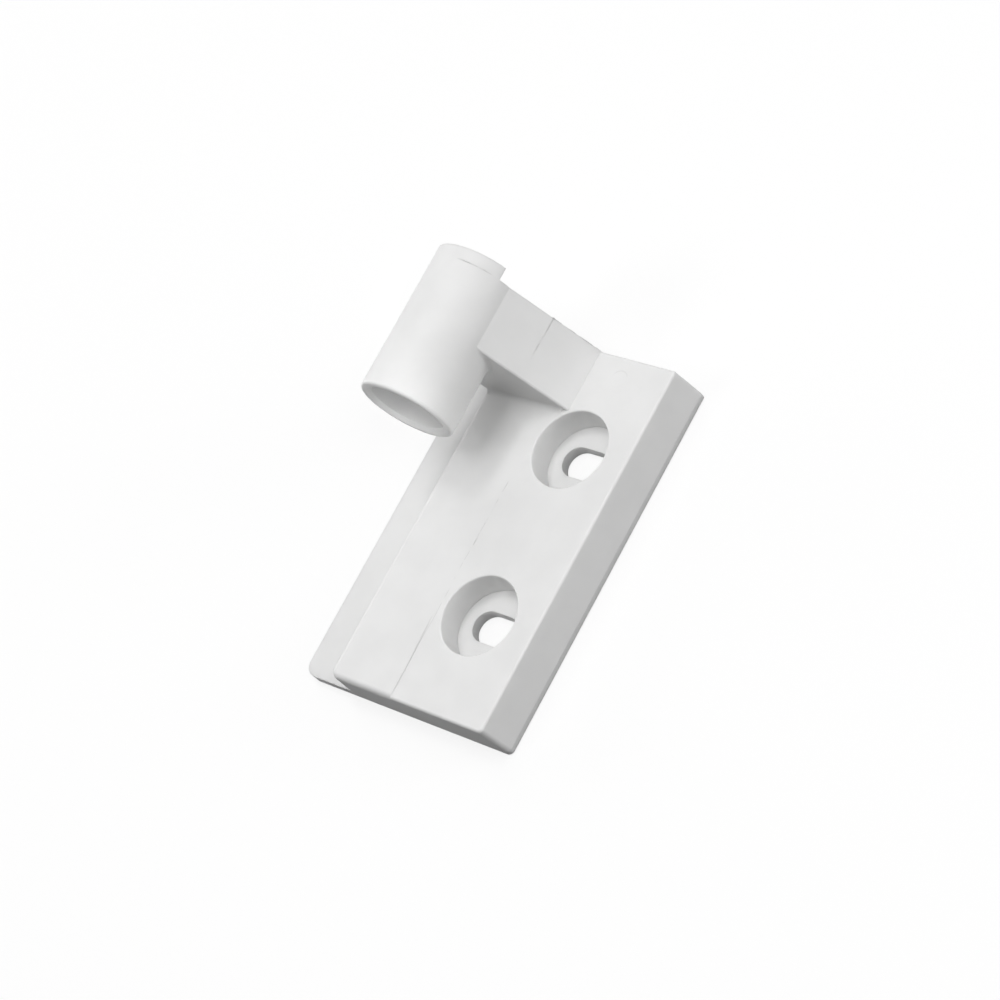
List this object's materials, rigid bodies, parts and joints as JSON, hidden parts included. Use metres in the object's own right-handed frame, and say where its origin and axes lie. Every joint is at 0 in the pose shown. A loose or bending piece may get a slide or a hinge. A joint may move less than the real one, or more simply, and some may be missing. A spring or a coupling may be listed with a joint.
{
  "type": "refrigerator door hinge leaf",
  "caption": "Moulded plastic door leaf of a refrigerator hinge: slotted screw plate with a thin flange and a leaning arm that carries a blind pivot barrel",
  "frame": {"origin": "midway between the two screw slots, on the flat mounting face", "axes": "+Z points away from the door, +Y runs along the leaf towards the arm end, +X runs across it towards the sloping side; the barrel's axis is parallel to Y and its mouth faces -Y"},
  "size_m": [0.0574, 0.0868, 0.0388],
  "materials": {
    "white_plastic": "satin moulded white"
  },
  "bodies": {
    "root": {"hinge_leaf": "white_plastic"}
  },
  "joints": []
}
